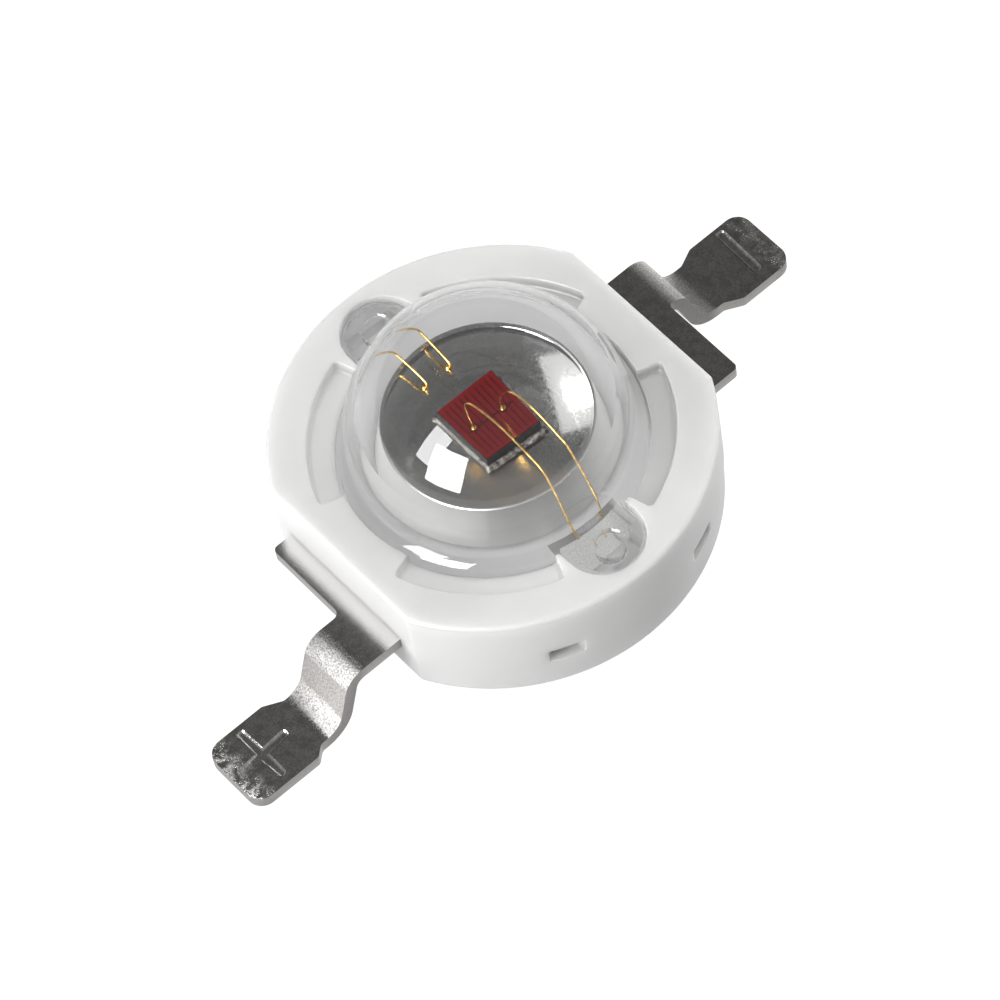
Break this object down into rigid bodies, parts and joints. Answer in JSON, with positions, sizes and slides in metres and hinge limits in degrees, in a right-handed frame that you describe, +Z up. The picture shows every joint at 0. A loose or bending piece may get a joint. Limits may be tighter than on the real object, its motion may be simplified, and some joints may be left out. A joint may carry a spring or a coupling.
{
  "type": "high power led",
  "caption": "Surface mount power LED: clear domed lens over a square red die, round white housing with side flats, round heat slug below and bent solder leads on opposite sides.",
  "frame": {"origin": "centre of the package on the board plane, under the middle of the heat slug", "axes": "+Z up through the lens, +X towards the anode foot marked with a plus, +Y towards the ear over the chip wires' bond window"},
  "size_m": [0.0144, 0.008, 0.0053],
  "materials": {
    "housing_plastic": "satin white moulded polyamide, slightly translucent",
    "slug_plating": "silver plated copper, bright",
    "lead_plating": "silver plated copper strip, bright rolled",
    "lens_plastic": "clear polished polycarbonate",
    "gel": "clear silicone gel",
    "silver_epoxy": "rough cured silver epoxy",
    "die_substrate": "dark sawn semiconductor",
    "emitter": "deep red, polished",
    "contact_gold": "thin gold metallisation",
    "wire_gold": "drawn gold"
  },
  "bodies": {
    "root": {"housing": "housing_plastic", "heat_slug": "slug_plating", "anode_lead": "lead_plating", "cathode_lead": "lead_plating", "lens": "lens_plastic", "silicone_gel": "gel", "die_attach": "silver_epoxy", "led_die": "die_substrate", "emitter_layer": "emitter", "die_contacts": "contact_gold", "right_bond_wire": "wire_gold", "left_bond_wire": "wire_gold", "outer_slug_wire": "wire_gold", "inner_slug_wire": "wire_gold"}
  },
  "joints": []
}
